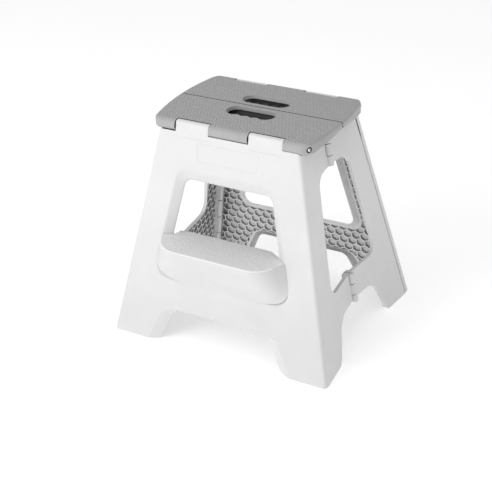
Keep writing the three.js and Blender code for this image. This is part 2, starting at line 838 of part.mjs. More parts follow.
const seatHalf = makeSeatHalf();
const seatRod = bar(seatAxisAt(-136), seatAxisAt(136), SEAT_ROD, 16);
const seatFrame = hingeFrame(seatAxisAt(0), new THREE.Vector3(1, 0, 0));
const innerSpans = CENTRE_SPANS.slice(1, 3);
const outerSpans = [CENTRE_SPANS[0], CENTRE_SPANS[3]];
const frontHalf = withCentre(seatHalf, outerSpans, innerSpans, ROD_HOLE);
const rearHalf = withCentre(mirrored(seatHalf, MIRROR_Y), innerSpans, outerSpans, CENTRE_HOLE);
const centreRod = bar(centreAt(-117), centreAt(117), CENTRE_ROD, 8);
place(front, "front_seat_rod", seatRod, steel);
place(rear, "rear_seat_rod", mirrored(seatRod, MIRROR_Y), steel);
const frontSeat = hinged(front, seatFrame);
const rearSeat = hinged(rear, mirroredFrame(seatFrame, MIRROR_Y));
place(frontSeat, "front_seat_half", frontHalf, grey);
place(frontSeat, "seat_centre_rod", centreRod, steel);
place(rearSeat, "rear_seat_half", rearHalf, grey);

export default stool;
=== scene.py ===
import math

import bmesh
import bpy
from mathutils import Matrix, Vector


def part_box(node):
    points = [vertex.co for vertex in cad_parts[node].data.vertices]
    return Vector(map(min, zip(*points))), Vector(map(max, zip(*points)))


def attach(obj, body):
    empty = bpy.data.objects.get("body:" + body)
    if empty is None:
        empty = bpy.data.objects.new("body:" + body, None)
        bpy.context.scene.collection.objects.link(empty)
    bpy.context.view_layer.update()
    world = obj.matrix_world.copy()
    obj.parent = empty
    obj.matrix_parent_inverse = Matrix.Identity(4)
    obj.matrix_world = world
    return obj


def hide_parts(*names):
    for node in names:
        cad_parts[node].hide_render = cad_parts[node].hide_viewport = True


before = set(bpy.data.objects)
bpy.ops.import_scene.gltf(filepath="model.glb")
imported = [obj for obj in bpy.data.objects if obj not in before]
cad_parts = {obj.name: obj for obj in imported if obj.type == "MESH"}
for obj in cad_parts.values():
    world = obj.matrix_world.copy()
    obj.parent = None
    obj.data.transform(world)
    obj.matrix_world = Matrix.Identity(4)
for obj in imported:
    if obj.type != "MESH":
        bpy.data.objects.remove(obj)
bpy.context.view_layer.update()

# Lengths are in millimetres, drawn about the middle of the seat, until settle() turns them
# into metres in the row frame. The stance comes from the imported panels.
FRONT_LOW, FRONT_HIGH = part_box("front_leg_panel")
REAR_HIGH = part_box("rear_leg_panel")[1]
HALF_WIDTH = FRONT_HIGH.x * 1000
MOVED_BACK = (REAR_HIGH.y + FRONT_LOW.y) * 500
HALF_DEPTH = (REAR_HIGH.y - FRONT_LOW.y) * 500
SIDE_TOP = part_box("right_rear_quarter")[1].z * 1000
SEAT_ROD_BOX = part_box("front_seat_rod")
SEAT_Y = 500 * (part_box("rear_seat_rod")[0].y - SEAT_ROD_BOX[0].y)
SEAT_Z = 500 * (SEAT_ROD_BOX[0].z + SEAT_ROD_BOX[1].z)
SEAT_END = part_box("front_seat_half")[1].x * 1000
TREAD_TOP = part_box("lower_step")[1].z * 1000
TREAD_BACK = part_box("lower_step")[1].y * 1000 - MOVED_BACK

# How far the walls lean in for each unit of height, and the fold's place at the floor.
SIDE_SLOPE = 0.2102
FRONT_SLOPE = 0.1843
FOLD_HALF_WIDTH = 189.3
PANEL_TOP = 375.0

# A board's depth at its thick edges, its depth inside them, and the skin before its cells.
DEPTH = 12.0
PLATE = 6.6
SKIN = 2.4
HEX_PITCH = 16.8
HEX_WALL = 2.3

# Hinge barrels: radii, the room cut round them, the gap between them and their heights.
CORNER_R = 5.5
CORNER_ROOM = CORNER_R + 0.6
CORNER_PITCH = 40.5
FOLD_R = 6.0
FOLD_ROOM = FOLD_R + 1.3
GAP = 0.5
UPPER_FOLD = (312, 330.5, 350.5, 366)
LOWER_FOLD = (66, 80, 99.5, 118.5)

# The seat: half its thickness, its hinge tabs on the panels, and its hand slots.
SEAT_R = 10
TABS = ((-97.5, -36.5), (36.5, 97.5))
TAB_GAP = 1.1
SLOT_R = 17.5
SLOT_Y = 27.5
SLOT_HALF = 26.5
FINGER_PITCH = 17.67
FINGER_DEPTH = 3.2

X_FLIP = Matrix.Diagonal((-1, 1, 1, 1))
Y_FLIP = Matrix.Diagonal((1, -1, 1, 1))


# ------------------------------------------------------------------ mesh tools

# Faces keep the mark they were made with: plain, deep in a pocket, or on a border's back.
# The deep and back marks later take darker colours: painted shade for the recesses.
MARKS = [bpy.data.materials.new("mark_" + name) for name in ("plain", "deep", "back")]
PLAIN_MARK, DEEP_MARK, BACK_MARK = range(3)


def placed(mesh):
    """An object for a mesh, with the marks as its materials."""
    for mark in MARKS:
        mesh.materials.append(mark)
    piece = bpy.data.objects.new("work", mesh)
    bpy.context.scene.collection.objects.link(piece)
    return piece


def make(points, polygons):
    mesh = bpy.data.meshes.new("work")
    mesh.from_pydata([tuple(p) for p in points], [], polygons)
    work = bmesh.new()
    work.from_mesh(mesh)
    bmesh.ops.remove_doubles(work, verts=work.verts, dist=1e-4)
    bmesh.ops.recalc_face_normals(work, faces=work.faces)
    work.to_mesh(mesh)
    work.free()
    return placed(mesh)


def loft(rings):
    """A closed solid through matching rings of points."""
    n = len(rings[0])
    polygons = []
    for r in range(len(rings) - 1):
        for i in range(n):
            j = (i + 1) % n
            polygons.append((r * n + i, r * n + j, (r + 1) * n + j, (r + 1) * n + i))
    last = (len(rings) - 1) * n
    polygons.append(tuple(range(n)))
    polygons.append(tuple(range(last, last + n)))
    return make([p for ring in rings for p in ring], polygons)


def hoop(rings):
    """A closed band through rings of points, the last joined to the first."""
    n, m = len(rings[0]), len(rings)
    polygons = []
    for r in range(m):
        s = (r + 1) % m
        for i in range(n):
            j = (i + 1) % n
            polygons.append((r * n + i, r * n + j, s * n + j, s * n + i))
    return make([p for ring in rings for p in ring], polygons)


def moved(piece, matrix):
    piece.data.transform(matrix)
    if matrix.determinant() < 0:
        piece.data.flip_normals()
    return piece


def copy(piece, matrix):
    twin = piece.copy()
    twin.data = piece.data.copy()
    bpy.context.scene.collection.objects.link(twin)
    return moved(twin, matrix)


def deep(piece, walls_only=False):
    """The same tool, leaving the deep mark, which later takes a painted-shade colour, on every face it
    cuts, or just round its sides.
    """
    for polygon in piece.data.polygons:
        is_end = len(polygon.vertices) > 4
        polygon.material_index = PLAIN_MARK if walls_only and is_end else DEEP_MARK
    return piece


def drop(piece):
    mesh = piece.data
    bpy.data.objects.remove(piece)
    bpy.data.meshes.remove(mesh)


def boolean(body, tool, how="DIFFERENCE"):
    """Cuts body with tool and drops the tool. The exact solver takes what the quick one can't."""
    step = body.modifiers.new("step", "BOOLEAN")
    step.object = tool
    step.operation = how
    for solver in ("MANIFOLD", "EXACT"):
        step.solver = solver
        bpy.context.view_layer.update()
        graph = bpy.context.evaluated_depsgraph_get()
        mesh = bpy.data.meshes.new_from_object(body.evaluated_get(graph))
        if mesh.polygons:
            break
    body.modifiers.clear()
    old = body.data
    body.data = mesh
    bpy.data.meshes.remove(old)
    drop(tool)
    return body


def joined(pieces):
    """Pieces side by side in one mesh."""
    work = bmesh.new()
    for piece in pieces:
        work.from_mesh(piece.data)
        drop(piece)
    mesh = bpy.data.meshes.new("work")
    work.to_mesh(mesh)
    work.free()
    return placed(mesh)


def box(x0, x1, y0, y1, z0, z1):
    return loft([[(x, y, z) for x, y in ((x0, y0), (x1, y0), (x1, y1), (x0, y1))] for z in (z0, z1)])


def rod(start, end, radius, segments=28, soft=0.0):
    """A round bar between two points, its end edges turned over by soft."""
    start, end = Vector(start), Vector(end)
    way = (end - start).normalized()
    side = way.orthogonal().normalized()
    other = way.cross(side)
    length = (end - start).length
    stations = [(0, radius), (length, radius)]
    if soft:
        turns = [(1 - math.cos(a), 1 - math.sin(a)) for a in (0, 0.5, 1.05, 1.5708)]
        turn = [(soft * along, radius - soft * drawn) for along, drawn in turns]
        stations = turn + [(length - along, r) for along, r in reversed(turn)]
    rings = []
    for along, r in stations:
        centre = start + way * along
        ring = []
        for i in range(segments):
            a = 2 * math.pi * i / segments
            ring.append(centre + side * (r * math.cos(a)) + other * (r * math.sin(a)))
        rings.append(ring)
    return loft(rings)


# ------------------------------------------------------------------ outlines


def rounded(corners, steps=8):
    """A polygon with each corner (x, y, radius) turned through an arc."""
    points = []
    n = len(corners)
    for i, (x, y, radius) in enumerate(corners):
        here = Vector((x, y))
        if radius <= 0:
            points.append(here)
            continue
        before = (Vector(corners[i - 1][:2]) - here).normalized()
        after = (Vector(corners[(i + 1) % n][:2]) - here).normalized()
        half = math.acos(max(-1, min(1, before.dot(after)))) / 2
        reach = radius / math.tan(half)
        centre = here + (before + after).normalized() * (radius / math.sin(half))
        a = here + before * reach - centre
        b = here + after * reach - centre
        sweep = math.atan2(a.x * b.y - a.y * b.x, a.dot(b))
        for k in range(steps + 1):
            t = sweep * k / steps
            arm = Vector((a.x * math.cos(t) - a.y * math.sin(t), a.x * math.sin(t) + a.y * math.cos(t)))
            points.append(centre + arm)
    return points


def grown(points, d):
    """An outline moved out by d along its own normals."""
    n = len(points)
    area = sum(points[i - 1].x * points[i].y - points[i].x * points[i - 1].y for i in range(n))
    sign = 1 if area > 0 else -1
    out = []
    for i in range(n):
        a = (points[i] - points[i - 1]).normalized()
        b = (points[(i + 1) % n] - points[i]).normalized()
        na, nb = Vector((a.y, -a.x)), Vector((b.y, -b.x))
        mid = na + nb
        mid = mid / max(0.35, mid.dot(na))
        out.append(points[i] + mid * (d * sign))
    return out


def lifted(points, w):
    return [(p.x, p.y, w) for p in points]


def prism(outline, w0, w1):
    return loft([lifted(outline, w) for w in (w0, w1)])


def leaning(origin, outward):
    """A frame on a wall: x along it, y up it and z out of it."""
    out = outward.normalized()
    level = Vector((0, 0, 1)).cross(out).normalized()
    turn = Matrix((level, out.cross(level), out)).transposed().to_4x4()
    return Matrix.Translation(origin) @ turn


def inset(radius, w):
    """How far a face's edge of this radius has drawn in, at a depth under the face."""
    under = radius + w
    return radius - math.sqrt(max(0.0, radius * radius - under * under)) if under > 0 else 0.0


# Frames on the outer faces of the front and the right wall. A height times a RISE is a length
# up the wall, and a LEAN is how far the wall's edge draws in along it.
FOOT = Vector((0, -HALF_DEPTH, 0))
FRONT_OUT = Vector((0, -1, FRONT_SLOPE)).normalized()
FRONT = leaning(FOOT, FRONT_OUT)
CORNER = Vector((HALF_WIDTH, -HALF_DEPTH, 0))
CORNER_UP = Vector((-SIDE_SLOPE, FRONT_SLOPE, 1))
SIDE_OUT = (Vector((FOLD_HALF_WIDTH, 0, 0)) - CORNER).cross(CORNER_UP).normalized()
SIDE = leaning(CORNER, SIDE_OUT)
FRONT_RISE = 1 / FRONT.col[1].z
SIDE_RISE = 1 / SIDE.col[1].z
LEAN = SIDE_SLOPE / FRONT_RISE
corner_in_side = SIDE.inverted().to_3x3() @ CORNER_UP
SIDE_LEAN = corner_in_side.x / corner_in_side.y


def shared_line(n1, d1, n2, d2):
    """The line where the planes with normals n1 and n2, at distances d1 and d2, meet."""
    way = n1.cross(n2).normalized()
    way = -way if way.z < 0 else way
    point = Matrix((n1, n2, way)).inverted() @ Vector((d1, d2, 0))
    return point, way


def at_height(line, z):
    point, way = line
    return point + way * ((z - point.z) / way.z)


# The corner hinges run 1 mm behind both boards, the folds 1 mm before the side's face.
CORNER_AXIS = shared_line(
    FRONT_OUT, FOOT.dot(FRONT_OUT) - DEPTH - 1,
    SIDE_OUT, CORNER.dot(SIDE_OUT) - DEPTH - 1,
)
FOLD_AXIS = shared_line(Vector((0, 1, 0)), 0.0, SIDE_OUT, CORNER.dot(SIDE_OUT) + 1)


def barrel_on(axis, low, high, extra, radius, segments, soft=0.0):
    """A barrel on a hinge's axis between two heights, longer by extra at each end."""
    return rod(at_height(axis, low - extra), at_height(axis, high + extra), radius, segments, soft)


def corner_spans(of_panel):
    """The heights of the corner barrels, which panel and quarter own by turns."""
    spans = []
    for i in range(9):
        if (i % 2 == 0) == of_panel:
            spans.append((2 + CORNER_PITCH * i, 2 + CORNER_PITCH * (i + 1) - GAP))
    return spans


def fold_spans(outer_above):
    """The heights of a quarter's fold knuckles: one group has its outer two, the other its middle."""
    spans = []
    for levels, outer in ((UPPER_FOLD, outer_above), (LOWER_FOLD, not outer_above)):
        for row in ((0, 2) if outer else (1,)):
            gap = GAP if row < 2 else 0
            spans.append((levels[row], levels[row + 1] - gap))
    return spans


# ------------------------------------------------------------------ honeycomb


def honeycomb(x0, x1, y0, y1, w0, w1, matrix, phase=0.0):
    """Hexagonal bars, points up, over a rectangle, as one mesh with their walls marked deep."""
    row_step = HEX_PITCH * math.sqrt(3) / 2
    reach = (HEX_PITCH - HEX_WALL) / math.sqrt(3)
    angles = [math.radians(60 * k + 30) for k in range(6)]
    cell = rounded([(reach * math.cos(a), reach * math.sin(a), 1.6) for a in angles], 2)
    n = len(cell)
    points, polygons = [], []
    for j in range(int((y1 - y0) / row_step) + 2):
        for i in range(int((x1 - x0) / HEX_PITCH) + 2):
            cx = x0 + HEX_PITCH * (i + (0.5 if j % 2 else 0.0) + phase)
            cy = y0 + row_step * j
            base = len(points)
            for w in (w0, w1):
                points += [matrix @ Vector((cx + p.x, cy + p.y, w)) for p in cell]
            for k in range(n):
                m = (k + 1) % n
                polygons.append((base + k, base + m, base + n + m, base + n + k))
            polygons.append(tuple(base + k for k in reversed(range(n))))
            polygons.append(tuple(base + n + k for k in range(n)))
    return deep(make(points, polygons), True)


# ------------------------------------------------------------------ leg panels


def half_width(v):
    return HALF_WIDTH - LEAN * v


# A dished border: how far in from its outer line, and how deep.
DISH_WIDTH = 14.5
DISH = [
    (-2.4, 1.2), (-1.9, 0.0), (-1.1, -0.05), (-0.3, -0.24), (0.6, -0.62), (1.6, -1.25),
    (11.4, -8.2), (12.7, -9.3), (13.6, -10.2), (14.2, -11.1),
    (DISH_WIDTH, -12.1), (DISH_WIDTH, -14.5),
]

# The wall of a dished border, from its face round its rim to its back.
BORDER = [
    (3.0, -2.22), (11.4, -8.17), (12.7, -9.27), (13.6, -10.17), (14.2, -11.0), (14.45, -11.6),
    (14.2, -12.0), (13.3, -12.1), (12.2, -11.6), (4.6, -6.3), (3.0, -4.9),
]


def window_ring(d, w):
    """The window's outline, drawn in by d, at the depth w."""
    stile = 51.5
    low = 118 * FRONT_RISE + d
    high = 312.9 * FRONT_RISE - d * 1.32
    radius = 23 - 8 * d / DISH_WIDTH
    bottom = half_width(low) - stile - d
    top = half_width(high) - stile - d
    corners = [(-bottom, low, radius), (bottom, low, radius), (top, high, radius), (-top, high, radius)]
    return lifted(rounded(corners, 12), w)


def arch_ring(d, w):
    """The outline of the arch between the feet, drawn in by d, at the depth w."""
    share = d / DISH_WIDTH
    foot = 139 - 20.5 * share
    top = (66.5 - 3.2 * share) * FRONT_RISE
    slope = 0.5 - 0.03 * share
    radius = 32 - 15 * share
    under = 8
    corners = [
        (-foot - under * slope, -under, 0), (foot + under * slope, -under, 0),
        (foot - top * slope, top, radius), (-foot + top * slope, top, radius),
    ]
    return lifted(rounded(corners, 12), w)


def dished(ring):
    return moved(loft([ring(d, w) for d, w in DISH]), FRONT)


def border(ring, mark):
    """The border's own wall, its back faces marked (on the arch for a darker painted-shade colour),
    with nothing under the floor.
    """
    band = moved(hoop([ring(d, w) for d, w in BORDER]), FRONT)
    for polygon in band.data.polygons:
        polygon.material_index = mark if polygon.normal.dot(FRONT_OUT) < 0.2 else PLAIN_MARK
    if ring == arch_ring:
        boolean(band, box(-220, 220, -220, -100, -60, 0.0))
    return band


def panel_board():
    rings = []
    top = PANEL_TOP * FRONT_RISE
    for w in (0, -0.12, -0.45, -1.0, -1.8, -2.9, -4.2, -5.6, -DEPTH + 0.7, -DEPTH + 0.2, -DEPTH):
        back = inset(0.7, -DEPTH - w)
        side = inset(5.6, w) + back
        edge = inset(1.6, w) + back
        low = -w * FRONT_SLOPE + edge
        corners = [
            (-half_width(low) + side, low, 3.5), (half_width(low) - side, low, 3.5),
            (half_width(top) - side, top, 4), (-half_width(top) + side, top, 4),
        ]
        rings.append(lifted(rounded(corners, 4), w))
    return moved(loft(rings), FRONT)


def panel_field():
    """The thinner part of a panel's back, inside its thick edges, and the pockets in it."""
    side = DEPTH + CORNER_R + 1.6
    low, high = 6.0, 356 * FRONT_RISE
    corners = [
        (-half_width(low) + side, low, 1), (half_width(low) - side, low, 1),
        (half_width(high) - side, high, 3), (-half_width(high) + side, high, 3),
    ]
    outline = rounded(corners, 2)
    field = deep(moved(prism(outline, -DEPTH - 3, -PLATE), FRONT), True)
    cells = honeycomb(-200, 200, 6, 376, -DEPTH - 1.5, -SKIN, FRONT)
    boolean(cells, moved(prism(outline, -DEPTH - 3, 2), FRONT), "INTERSECT")
    for ring in (window_ring, arch_ring):
        boolean(cells, moved(loft([ring(0.5, w) for w in (-DEPTH - 4, 3)]), FRONT))
    return field, cells, shaded_cells(cells, side, low, high)


def shaded_cells(cells, side, low, high):
    """The pockets beside the corner barrels again, a little deeper and marked to their floors, so they
    take the painted shade of the deep look.
    """
    near = copy(cells, Matrix.Translation(FRONT_OUT * 0.4))
    strips = []
    for flip in (1, -1):
        edges = ((low, 8.0), (low, -1), (high, -1), (high, 8.0))
        corners = [Vector((flip * (half_width(v) - side - d), v)) for v, d in edges]
        strips.append(moved(prism(corners, -DEPTH - 3, 2), FRONT))
    return deep(boolean(near, joined(strips), "INTERSECT"))


def seat_at(x, y=0.0, z=0.0):
    """A point given from the front seat hinge's axis."""
    return Vector((x, -SEAT_Y + y, SEAT_Z + z))


def tab(x0, x1):
    """A white ear: the panel's face carried up and turned over the seat's hinge."""
    radius = SEAT_R - 0.5
    face = -HALF_DEPTH + FRONT_SLOPE * SEAT_Z + SEAT_Y
    profile = [(face - FRONT_SLOPE * 16, -16, 0), (face + FRONT_SLOPE * 9.6, radius, 5.2)]
    profile.append((2.1, radius, 0.5))
    for k in range(9):
        a = math.radians(72 - 23 * k)
        profile.append((radius * math.cos(a), radius * math.sin(a), 0))
    outline = rounded(profile, 7)
    softened = ((0, 0.5), (0.15, 0.15), (0.5, 0))
    stations = [(x0 + dx, draw) for dx, draw in softened]
    stations += [(x1 - dx, draw) for dx, draw in reversed(softened)]
    return loft([[seat_at(x, p.x, p.y) for p in grown(outline, -draw)] for x, draw in stations])


def bead():
    """The faint raised frame on the front panel's upper band."""
    low, high = 330 * FRONT_RISE, 359 * FRONT_RISE
    path = rounded([(-53.5, low, 3), (53.5, low, 3), (57, high, 3), (-57, high, 3)], 5)
    profile = ((0.9, -0.3), (0.45, 0.4), (-0.45, 0.4), (-0.9, -0.3))
    return moved(hoop([lifted(grown(path, d), w) for d, w in profile]), FRONT)


def leg_panel(extras):
    """A leg panel with its borders, barrels and tabs, and any pieces of its own."""
    panel = panel_board()
    for tool in panel_field():
        boolean(panel, tool)
    boolean(panel, dished(window_ring))
    boolean(panel, dished(arch_ring))
    outer_tab = TABS[1][1]
    # The rooms round the hinges are cut with the deep mark, so they take the painted shade of the gaps.
    for x0, x1, radius in (
        (-175, 0.5 - outer_tab, 12.2), (-outer_tab, outer_tab, 11.3), (outer_tab - 0.5, 175, 10.6),
    ):
        boolean(panel, deep(rod(seat_at(x0), seat_at(x1), radius, 56)))
    boolean(panel, deep(box(-175, 175, -SEAT_Y, 0, SEAT_Z - 11.2, 400)))
    extras = [border(window_ring, PLAIN_MARK), border(arch_ring, BACK_MARK)] + extras
    for flip in (Matrix.Identity(4), X_FLIP):
        for low, high in corner_spans(False):
            room = barrel_on(CORNER_AXIS, low, high, GAP, CORNER_ROOM, 28)
            boolean(panel, moved(deep(room), flip))
        for low, high in corner_spans(True):
            barrel = barrel_on(CORNER_AXIS, max(low, 4), high, -0.4, CORNER_R, 28, 1.0)
            extras.append(moved(barrel, flip))
    extras += [tab(x0, x1) for x0, x1 in TABS]
    return joined([panel] + extras)


# ------------------------------------------------------------------ side quarters

# A plain edge, turned over a little at both faces: how far in, and how deep.
EDGE = [
    (-1.5, 0.8), (-1.1, 0.0), (-0.55, -0.12), (-0.15, -0.5), (0, -1.1), (0, -PLATE + 0.7),
    (-0.2, -PLATE + 0.2), (-0.6, -PLATE), (-0.6, -DEPTH + 0.4), (-1.2, -DEPTH - 0.8),
]
PAST_FOLD = 240
BOARD_END = 230


def corner_in(v):
    return SIDE_LEAN * v


def side_opening():
    low, high, stile = 119.5 * SIDE_RISE, 313 * SIDE_RISE, 64
    return rounded([
        (corner_in(low) + stile, low, 19), (PAST_FOLD, low, 0),
        (PAST_FOLD, high, 0), (corner_in(high) + stile, high, 24),
    ], 12)


def side_arch():
    return rounded([
        (68, -20, 0), (74.5, 1, 9), (84, 13, 10), (104, 57, 14), (124, 71.5, 30),
        (PAST_FOLD, 72, 0), (PAST_FOLD, -20, 0),
    ], 8)


def edged(outline):
    return moved(loft([lifted(grown(outline, -d), w) for d, w in EDGE]), SIDE)


def quarter_board():
    top = SIDE_TOP * SIDE_RISE
    rise = SIDE_OUT.z / SIDE.col[1].z
    rings = []
    for w in (0, -0.1, -0.35, -0.75, -1.2, -DEPTH + 0.6, -DEPTH + 0.15, -DEPTH):
        edge = inset(1.2, w) + inset(0.6, -DEPTH - w)
        low, high = edge - w * rise, top - edge
        outline = [(corner_in(low), low), (BOARD_END, low), (BOARD_END, high), (corner_in(top), high)]
        rings.append([(x, y, w) for x, y in outline])
    return moved(loft(rings), SIDE)


def quarter_field():
    """The thinner part of a quarter's back, between the corner barrels and the fold."""
    low, high = 5.0, 361 * SIDE_RISE
    wall = DEPTH + CORNER_R + 2.4
    outline = rounded([
        (corner_in(low) + wall, low, 1), (BOARD_END, low, 0),
        (BOARD_END, high, 0), (corner_in(high) + wall, high, 3),
    ], 2)
    field = moved(prism(outline, -DEPTH - 3, -PLATE), SIDE)
    cells = honeycomb(0, 190, 4, 372, -DEPTH - 1.5, -SKIN, SIDE, 0.25)
    boolean(cells, moved(prism(outline, -DEPTH - 3, 2), SIDE), "INTERSECT")
    for edge in (side_opening(), side_arch()):
        boolean(cells, moved(prism(grown(edge, 2.2), -DEPTH - 4, 3), SIDE))
    for tool in (field, cells):
        boolean(tool, box(0, 400, -9.5, 300, -50, 500))
    return field, cells


def side_quarter(own_above, seam):
    """A front quarter, a seam away from the panel. With own_above it has the outer two of the
    fold's upper knuckles and the middle one of the lower."""
    quarter = quarter_board()
    for tool in quarter_field():
        boolean(quarter, tool)
    boolean(quarter, edged(side_opening()))
    boolean(quarter, edged(side_arch()))
    before = [Vector(p) for p in ((-300, -250), (300, -250), (300, 650), (-300, 650))]
    # The seam and the rooms round the barrels are cut with the deep mark, so they take painted shade.
    boolean(quarter, moved(deep(prism(before, -DEPTH - seam, 60)), FRONT))
    boolean(quarter, deep(box(0, 400, -0.9, 300, -50, 500)))
    for low, high in corner_spans(True):
        boolean(quarter, deep(barrel_on(CORNER_AXIS, low, high, GAP, CORNER_ROOM, 28)))
    for low, high in fold_spans(not own_above):
        boolean(quarter, deep(barrel_on(FOLD_AXIS, low, high, GAP, FOLD_ROOM, 32)))
    barrels = [barrel_on(CORNER_AXIS, *span, -0.4, CORNER_R, 28, 1.0) for span in corner_spans(False)]
    knuckles = [barrel_on(FOLD_AXIS, *span, -0.3, FOLD_R, 32, 0.9) for span in fold_spans(own_above)]
    return joined([quarter] + barrels + knuckles)


# ------------------------------------------------------------------ seat


def seat_end(y, turn=13):
    """Half the seat's width at a distance from its middle line, with its turned outer corner."""
    bow = SEAT_END - 10.5 * (y / SEAT_Y) ** 2
    past = y - (SEAT_Y + SEAT_R - turn)
    if past > 0:
        bow -= turn - math.sqrt(max(0.0, turn ** 2 - min(past, turn - 0.2) ** 2))
    return bow


def seat_top(y):
    """The height of the slightly crowned top."""
    crown = 0.8 * (1 - (y / SEAT_Y) ** 2) if y < SEAT_Y else 0
    return SEAT_Z + SEAT_R + crown


def underside(y):
    """The skirt's lower edge rises from the front hinge to the middle."""
    return SEAT_Z - SEAT_R + 10 * max(0.0, min(1.0, (86 - y) / 85))


def seat_section(y, top, bottom, turn):
    """The seat's outline across x and z at a distance y in front of its middle."""
    half = seat_end(y, turn)
    high = top - bottom
    upper = min(4.4, high / 2.3)
    lower = min(2.6 if y < SEAT_Y - 1 else 6.5, high / 3.1)
    corners = [(-half, bottom, lower), (half, bottom, lower), (half, top, upper), (-half, top, upper)]
    return [(p.x, -y, p.y) for p in rounded(corners, 5)]


def seat_body(turn):
    seam = 0.75
    sections = []
    for y in [seam, 0.95, 1.35] + [2 + 4.15 * k for k in range(23)]:
        top = seat_top(y) - inset(0.6, seam - y)
        sections.append(seat_section(y, top, underside(y), turn))
    for k in range(13):
        a = math.radians(7.2 * k)
        lift = SEAT_R * math.cos(a)
        sections.append(seat_section(SEAT_Y + SEAT_R * math.sin(a), SEAT_Z + lift, SEAT_Z - lift, turn))
    return loft(sections)


def slot_outline(extra, grips=0.0):
    """A hand slot, wider by extra. The slot with grips is larger, its outer edge waved for fingers."""
    shrink = 0 if grips else 0.9
    r = SLOT_R - shrink + extra
    middle = shrink - SLOT_Y
    points = []
    for x, start in ((SLOT_HALF, -90), (-SLOT_HALF, 90)):
        for k in range(29):
            a = math.radians(start + 180 * k / 28)
            points.append(Vector((x + r * math.cos(a), middle + r * math.sin(a))))
    for k in range(1, 60):
        past = 2 * SLOT_HALF * k / 60
        wave = 0.5 - 0.5 * math.cos(2 * math.pi * past / FINGER_PITCH)
        points.append(Vector((past - SLOT_HALF, middle - r + grips * wave)))
    return points


def slot_tool(grips):
    """What cuts a hand slot, its upper edge turned over."""
    edge = [(1.8, 14), (1.3, 11.2), (1.0, 10.2), (0.35, 9.4), (0, 8.6), (0, -21)]
    return loft([lifted(slot_outline(d, grips), SEAT_Z + z) for d, z in edge])


def slot_rim(grips):
    """The smooth lip round a hand slot, a hair above the textured top."""
    profile = [
        (3.0, -0.5), (3.0, 0.22), (2.75, 0.34), (0.75, 0.34),
        (0.3, 0.15), (0.02, -0.5), (0.02, -1.1), (2.4, -1.5),
    ]
    rings = []
    for d, rise in profile:
        rings.append([(p.x, p.y, seat_top(-p.y) + rise) for p in slot_outline(d, grips)])
    return hoop(rings)


def slot_shade_shelf():
    """A near-black shelf under a hand slot's inner side, put there as painted shade so the slot looks
    dark.
    """
    edge = [
        (-2.6, 4.8), (-2.6, 0.4), (-10, -2.9), (-23.0, -4.1), (-24.0, -3.8),
        (-24.4, -3.2), (-24.0, -2.6), (-23.0, -2.3), (-10.5, -1.4), (-4.6, 4.8),
    ]
    return deep(loft([[(x, y, SEAT_Z + z) for y, z in edge] for x in (-50, -46, 46, 50)]))


def seat_cells():
    """The pockets under a seat half, clear of its rim and its hand slot."""
    cells = honeycomb(-150, 150, -90, 8, 350, SEAT_Z + 6.6, Matrix.Identity(4), 0.5)
    rim = 3.4
    half = [(seat_end(y) - rim, -y) for y in (rim, 20, 40, 60, 83)]
    outline = [Vector((x, y)) for x, y in half] + [Vector((-x, y)) for x, y in reversed(half)]
    boolean(cells, prism(outline, 340, 400), "INTERSECT")
    return boolean(cells, prism(slot_outline(2.6), 330, 410))


def seat_half(own, other, turn, tab_gap, grips=0.0):
    """A front seat half with its own centre knuckles and room for the other's. Its outer corners
    turn with a radius, and it stops tab_gap behind the hinge's axis at the tabs."""
    seat = seat_body(turn)
    boolean(seat, seat_cells())
    boolean(seat, slot_tool(grips))
    # Deep-marked cuts on the seat, the slot walls, seam and rooms, take the near-black painted shade.
    boolean(seat, deep(prism(slot_outline(7), 340, SEAT_Z + 4.6)))
    for x0, x1 in TABS:
        x0, x1 = x0 - TAB_GAP, x1 + TAB_GAP
        boolean(seat, deep(rod(seat_at(x0), seat_at(x1), SEAT_R + 0.3, 48)))
        boolean(seat, deep(box(x0, x1, -120, tab_gap - SEAT_Y, 300, 400)))
    boolean(seat, rod(seat_at(-175), seat_at(175), 2.8, 20))
    for side in (-1, 1):
        boolean(seat, deep(rod(seat_at(side * 131), seat_at(side * 170), 4.8, 32)))
    boolean(seat, deep(box(-170, 170, -1.6, 5, SEAT_Z - 12, SEAT_Z + 4.5)))
    for x0, x1 in other:
        boolean(seat, deep(rod((x0 - 0.6, 0, SEAT_Z), (x1 + 0.6, 0, SEAT_Z), 6.6, 28)))
    knuckles = [rod((x0, 0, SEAT_Z), (x1, 0, SEAT_Z), 4.5, 28, 0.5) for x0, x1 in own]
    return joined([seat, slot_rim(grips), slot_shade_shelf()] + knuckles)


# ------------------------------------------------------------------ lower step

# The step's front from its foot up: height, how far it stands out, and half its width.
STEP = [
    (117.2, 0.02, 50), (118, 0.12, 66), (119.2, 0.4, 82), (120.6, 0.85, 92.5), (123, 1.9, 103),
    (126, 3.6, 111), (130, 6.3, 117.3), (135, 10.0, 121.6), (142, 15.2, 125), (150, 20.6, 126),
    (160, 26.7, 124.5), (170, 32.2, 122.6), (182, 39.6, 119.8), (191.2, 45.2, 117.9),
    (193, 46.1, 117.4), (194.1, 46.1, 116.9), (194.7, 45.4, 116.4), (195, 44.2, 115.6),
]
STEP_CORNER = 24


def panel_face(z):
    return -HALF_DEPTH + FRONT_SLOPE * z


def step_ring(z, reach, wide, back):
    face = panel_face(z)
    narrow = wide - STEP_CORNER
    side = math.hypot(STEP_CORNER, reach)
    turn = (math.pi - math.atan2(reach, STEP_CORNER)) / 2
    radius = min(0.62 * side, 27) * math.tan(turn)
    corners = [
        (-wide, back, 0), (-wide, face - 0.02, 0), (-narrow, face - reach, radius),
        (narrow, face - reach, radius), (wide, face - 0.02, 0), (wide, back, 0),
    ]
    return lifted(rounded(corners, 14), z)


